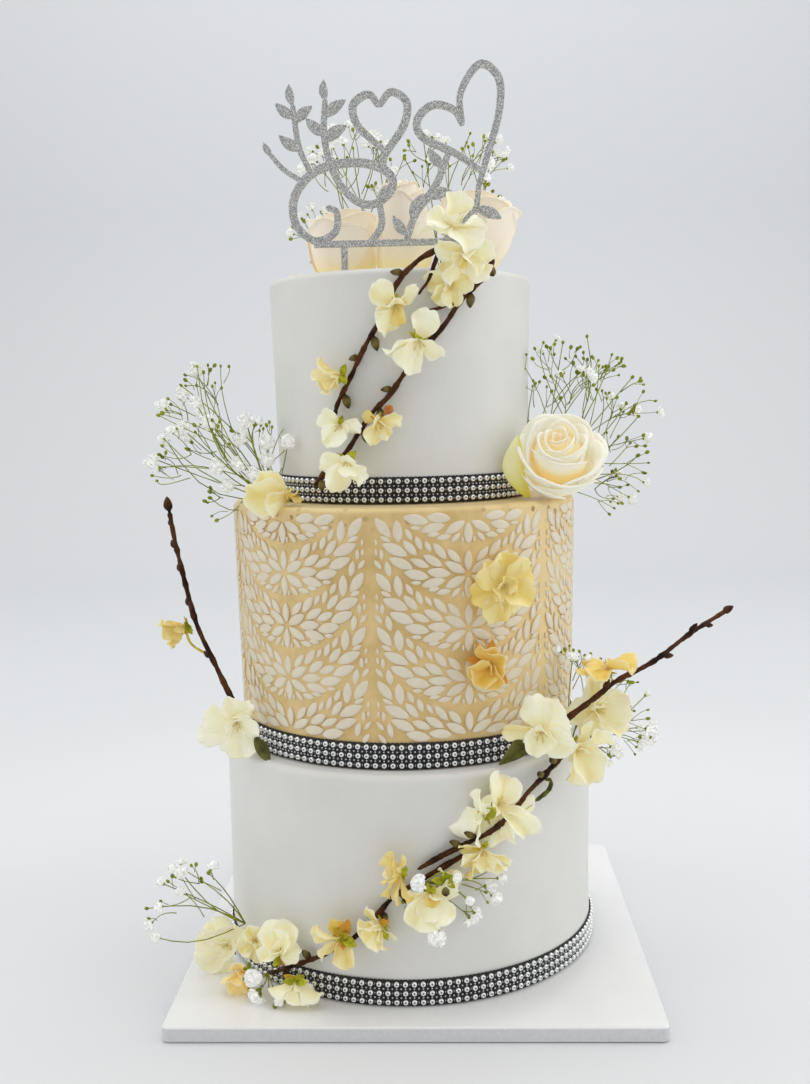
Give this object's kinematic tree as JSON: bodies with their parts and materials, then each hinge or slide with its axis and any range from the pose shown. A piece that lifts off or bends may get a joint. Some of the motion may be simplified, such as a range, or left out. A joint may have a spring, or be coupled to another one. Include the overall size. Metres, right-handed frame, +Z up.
{
  "type": "tiered wedding cake",
  "caption": "Tiered wedding cake on a square board with beaded ribbons, a stencilled gold tier, twigs of cream blossom, roses, baby's breath and a cut-out heart topper.",
  "frame": {"origin": "on the cake's axis, on the underside of the board", "axes": "+Z up, the front of the cake towards -Y, +X to the viewer's right"},
  "size_m": [0.353, 0.2811, 0.5435],
  "materials": {
    "white_paste": "satin sugar paste",
    "gold_paste": "satin gold sugar paste with white leaves",
    "board_paper": "white wrapped, semi-gloss",
    "beads": "black net with silver beads",
    "glitter": "silver glitter",
    "bark": "dark brown, knobbly",
    "cream_silk": "soft cream petals, yellow at the throat",
    "yellow_silk": "soft golden petals",
    "rose_petal": "velvety ivory and peach",
    "white_floret": "tiny white florets on thin green stems",
    "leaf_green": "matt yellow-green"
  },
  "bodies": {
    "root": {"blossom_foot_a": "cream_silk", "blossom_foot_b": "yellow_silk", "blossom_foot_c": "cream_silk", "blossom_foot_d": "cream_silk", "blossom_foot_e": "cream_silk", "blossom_ledge": "cream_silk", "blossom_left": "cream_silk", "blossom_left_tip": "cream_silk", "blossom_low_a": "cream_silk", "blossom_low_b": "cream_silk", "blossom_low_c": "cream_silk", "blossom_low_d": "cream_silk", "blossom_low_e": "cream_silk", "blossom_low_f": "cream_silk", "blossom_low_g": "cream_silk", "blossom_low_gold": "yellow_silk", "blossom_mid_large": "cream_silk", "blossom_mid_small": "yellow_silk", "blossom_right_back": "cream_silk", "blossom_right_front": "cream_silk", "blossom_right_gold": "yellow_silk", "blossom_right_low": "cream_silk", "blossom_top_a": "cream_silk", "blossom_top_b": "cream_silk", "blossom_top_c": "cream_silk", "blossom_upper_a": "cream_silk", "blossom_upper_b": "cream_silk", "blossom_upper_c": "cream_silk", "blossom_upper_d": "cream_silk", "blossom_upper_e": "cream_silk", "blossom_upper_f": "cream_silk", "breath_left": "white_floret", "breath_low_centre": "white_floret", "breath_low_front": "white_floret", "breath_low_left": "white_floret", "breath_right": "white_floret", "breath_right_low": "white_floret", "breath_top_left": "white_floret", "breath_top_right": "white_floret", "cake_board": "board_paper", "leaf_left": "leaf_green", "leaf_right": "leaf_green", "leaf_rose": "leaf_green", "ribbon_bottom": "beads", "ribbon_middle": "beads", "ribbon_top": "beads", "rose_side": "rose_petal", "rose_top_centre": "rose_petal", "rose_top_left": "rose_petal", "rose_top_right": "rose_petal", "tier_bottom": "white_paste", "tier_middle": "gold_paste", "tier_top": "white_paste", "topper": "glitter", "twig_left": "bark", "twig_low_left": "bark", "twig_low_right": "bark", "twig_right": "bark", "twig_top_left": "bark", "twig_top_right": "bark"}
  },
  "joints": []
}
